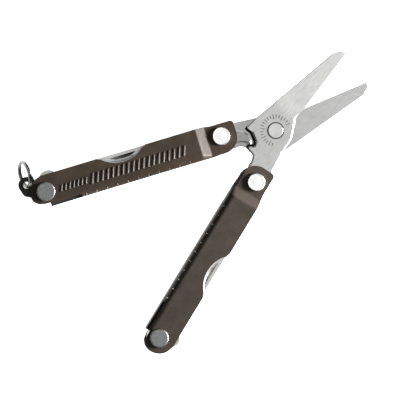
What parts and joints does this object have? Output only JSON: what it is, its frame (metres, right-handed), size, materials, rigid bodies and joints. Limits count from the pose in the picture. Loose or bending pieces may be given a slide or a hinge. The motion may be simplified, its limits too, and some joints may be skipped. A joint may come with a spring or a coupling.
{
  "type": "multi tool",
  "caption": "Key-ring multi-tool: spring scissors between two folded-sheet handles that hold small folding tools and a split ring.",
  "frame": {"origin": "middle of the base of the bounding box, on the plane of the rear rivet heads", "axes": "+X along the scissors' centre line towards the blade tips, +Y towards the handle with the split ring, +Z out of the front face"},
  "size_m": [0.1012, 0.0712, 0.0114],
  "materials": {
    "blade_steel": "satin ground stainless steel",
    "rivet_steel": "satin steel with a knurled rim",
    "handle_coat": "satin brown-grey metal coat",
    "black_coat": "black oxide",
    "ring_steel": "bright plated wire"
  },
  "bodies": {
    "scissor_rivet": {"scissor_rivet_post": "rivet_steel", "scissor_rivet_cap": "rivet_steel"},
    "back_blade": {"back_blade": "blade_steel"},
    "front_blade": {"front_blade": "blade_steel"},
    "spring_bush": {"spring_bush": "rivet_steel"},
    "scissor_spring": {"scissor_spring": "blade_steel"},
    "handle_a": {"handle_a_frame": "handle_coat", "handle_a_fork_rivet_post": "rivet_steel", "handle_a_fork_rivet_cap": "rivet_steel", "handle_a_tool_rivet_post": "rivet_steel", "handle_a_tool_rivet_cap": "rivet_steel", "handle_a_front_washer": "rivet_steel", "long_spacer": "rivet_steel", "short_spacer": "rivet_steel"},
    "handle_b": {"handle_b_frame": "handle_coat", "handle_b_fork_rivet_post": "rivet_steel", "handle_b_fork_rivet_cap": "rivet_steel", "handle_b_tool_rivet_post": "rivet_steel", "handle_b_tool_rivet_cap": "rivet_steel", "handle_b_front_washer": "rivet_steel", "handle_b_rear_washer": "rivet_steel", "tang_spacer": "rivet_steel"},
    "knife": {"knife_blade": "blade_steel"},
    "lanyard": {"lanyard_loop": "black_coat"},
    "key_ring": {"split_ring": "ring_steel"},
    "opener": {"bottle_opener": "blade_steel"},
    "phillips": {"phillips_driver": "blade_steel"},
    "small_driver": {"small_driver": "blade_steel"},
    "tweezers": {"tweezer_upper_arm": "blade_steel", "tweezer_lower_arm": "blade_steel"},
    "file": {"nail_file": "blade_steel"}
  },
  "joints": [
    {"name": "handle_a_fold", "type": "hinge", "parent": "back_blade", "child": "handle_a", "pos_m": [0.00593, 0.00518, 0.0057], "axis": [0, 0, -1], "range_deg": [0, 174.3]},
    {"name": "handle_b_fold", "type": "hinge", "parent": "front_blade", "child": "handle_b", "pos_m": [0.00593, -0.01187, 0.0057], "axis": [0, 0, 1], "range_deg": [0, 174.3]},
    {"name": "scissor_tuck", "type": "hinge", "parent": "scissor_rivet", "child": "front_blade", "pos_m": [0.01995, -0.00335, 0.0057], "axis": [0, 0, -1], "range_deg": [0, 30]},
    {"name": "scissor_cut", "type": "hinge", "parent": "scissor_rivet", "child": "back_blade", "pos_m": [0.01995, -0.00335, 0.0057], "axis": [0, 0, -1], "range_deg": [-26, 0], "stiffness_Nm_per_rad": 0.05},
    {"name": "bush_turn", "type": "hinge", "parent": "back_blade", "child": "spring_bush", "pos_m": [0.00593, 0.00518, 0.0057], "axis": [0, 0, 1], "range_deg": [0, 28.5]},
    {"name": "spring_press", "type": "hinge", "parent": "spring_bush", "child": "scissor_spring", "pos_m": [0.00593, 0.00518, 0.0057], "axis": [0, 0, 1], "range_deg": [0, 24.8]},
    {"name": "knife_open", "type": "hinge", "parent": "handle_a", "child": "knife", "pos_m": [-0.04478, 0.02373, 0.0057], "axis": [0, 0, 1], "range_deg": [0, 172]},
    {"name": "lanyard_swing", "type": "hinge", "parent": "handle_a", "child": "lanyard", "pos_m": [-0.04478, 0.02373, 0.0057], "axis": [0, 0, 1], "range_deg": [0, 60]},
    {"name": "ring_swing", "type": "hinge", "parent": "lanyard", "child": "key_ring", "pos_m": [-0.04815, 0.02881, 0.00405], "axis": [0, 0, 1], "range_deg": [-25, 25]},
    {"name": "opener_open", "type": "hinge", "parent": "handle_b", "child": "opener", "pos_m": [-0.04478, -0.03043, 0.0057], "axis": [0, 0, -1], "range_deg": [0, 180]},
    {"name": "phillips_open", "type": "hinge", "parent": "handle_b", "child": "phillips", "pos_m": [-0.04478, -0.03043, 0.0057], "axis": [0, 0, -1], "range_deg": [0, 172]},
    {"name": "small_driver_open", "type": "hinge", "parent": "handle_b", "child": "small_driver", "pos_m": [-0.04478, -0.03043, 0.0057], "axis": [0, 0, -1], "range_deg": [0, 172]},
    {"name": "tweezers_open", "type": "hinge", "parent": "handle_b", "child": "tweezers", "pos_m": [-0.04478, -0.03043, 0.0057], "axis": [0, 0, -1], "range_deg": [0, 180]},
    {"name": "file_open", "type": "hinge", "parent": "handle_b", "child": "file", "pos_m": [-0.04478, -0.03043, 0.0057], "axis": [0, 0, -1], "range_deg": [0, 180]}
  ],
  "couplings": [
    {"joint": "handle_b_fold", "follows": "handle_a_fold", "ratio": 1},
    {"joint": "scissor_tuck", "follows": "handle_a_fold", "ratio": 0.1721},
    {"joint": "bush_turn", "follows": "handle_a_fold", "ratio": 0.1635},
    {"joint": "lanyard_swing", "follows": "handle_a_fold", "ratio": 0.3442},
    {"joint": "spring_press", "follows": "scissor_cut", "ratio": -0.95}
  ]
}
